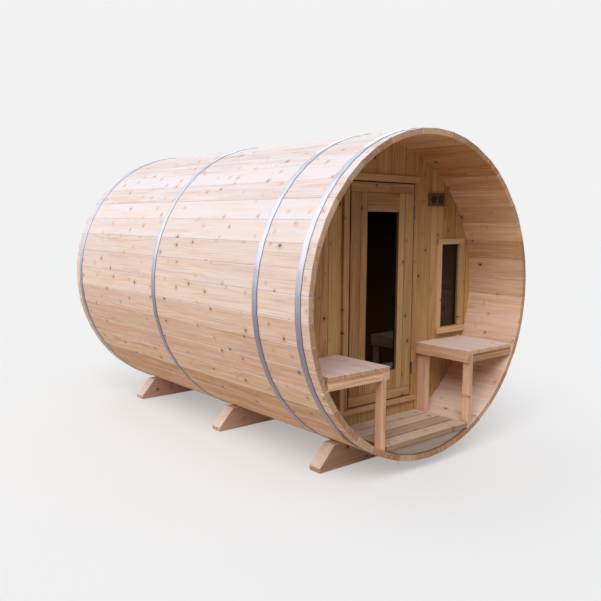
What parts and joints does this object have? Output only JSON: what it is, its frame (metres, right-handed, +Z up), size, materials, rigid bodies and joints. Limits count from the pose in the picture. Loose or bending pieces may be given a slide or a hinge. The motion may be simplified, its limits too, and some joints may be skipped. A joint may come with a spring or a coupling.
{
  "type": "barrel sauna",
  "caption": "Coopered wooden barrel on timber cradles, held by steel bands, with an open bench porch and a glazed door to a hollow sauna room.",
  "frame": {"origin": "ground level under the middle of the barrel", "axes": "+Z up, +Y along the barrel from the porch to the back, +X to the right as seen from the porch"},
  "size_m": [1.8646, 2.743, 1.9245],
  "materials": {
    "stave_timber": "planed pale softwood with knots, oiled satin",
    "wall_boarding": "planed tongued boards with knots, unfinished",
    "joinery_timber": "planed clear boards, unfinished",
    "bench_timber": "planed and slightly weathered boards",
    "floor_timber": "planed and slightly weathered boards",
    "cradle_timber": "sawn reddish timber",
    "vent_timber": "dark stained wood",
    "band_steel": "bright cold-rolled strip",
    "hinge_steel": "dull grey steel",
    "tinted_glass": "dark tempered glass"
  },
  "bodies": {
    "sauna": {"back_wall": "wall_boarding", "door_head_trim": "joinery_timber", "door_sill": "joinery_timber", "door_stops": "joinery_timber", "door_trim_left": "joinery_timber", "door_trim_right": "joinery_timber", "front_cradle": "cradle_timber", "front_wall_left": "wall_boarding", "front_wall_over_door": "wall_boarding", "front_wall_right": "wall_boarding", "front_wall_under_door": "wall_boarding", "hinge_frame_leaves": "hinge_steel", "left_bench_aprons": "bench_timber", "left_bench_legs": "bench_timber", "left_bench_seat": "bench_timber", "middle_cradle": "cradle_timber", "porch_fascia": "floor_timber", "porch_floor": "floor_timber", "rear_cradle": "cradle_timber", "right_bench_aprons": "bench_timber", "right_bench_legs": "bench_timber", "right_bench_seat": "bench_timber", "sauna_floor": "floor_timber", "staves_crown": "stave_timber", "staves_keel": "stave_timber", "staves_left_flank": "stave_timber", "staves_left_haunch": "stave_timber", "staves_left_shoulder": "stave_timber", "staves_right_flank": "stave_timber", "staves_right_haunch": "stave_timber", "staves_right_shoulder": "stave_timber", "steel_bands": "band_steel", "vent_plate": "vent_timber", "window_glass": "tinted_glass", "window_head_trim": "joinery_timber", "window_side_trims": "joinery_timber", "window_sill": "joinery_timber"},
    "door": {"door_bottom_rail": "joinery_timber", "door_filler_rail": "joinery_timber", "door_glass": "tinted_glass", "door_left_stile": "joinery_timber", "door_lower_panel": "joinery_timber", "door_right_stile": "joinery_timber", "door_top_rail": "joinery_timber", "hinge_door_leaves": "hinge_steel"}
  },
  "joints": [
    {"name": "door_swing", "type": "hinge", "parent": "sauna", "child": "door", "pos_m": [0.276, -0.9829, 0.99], "axis": [0, 0, 1], "range_deg": [0, 95]}
  ]
}
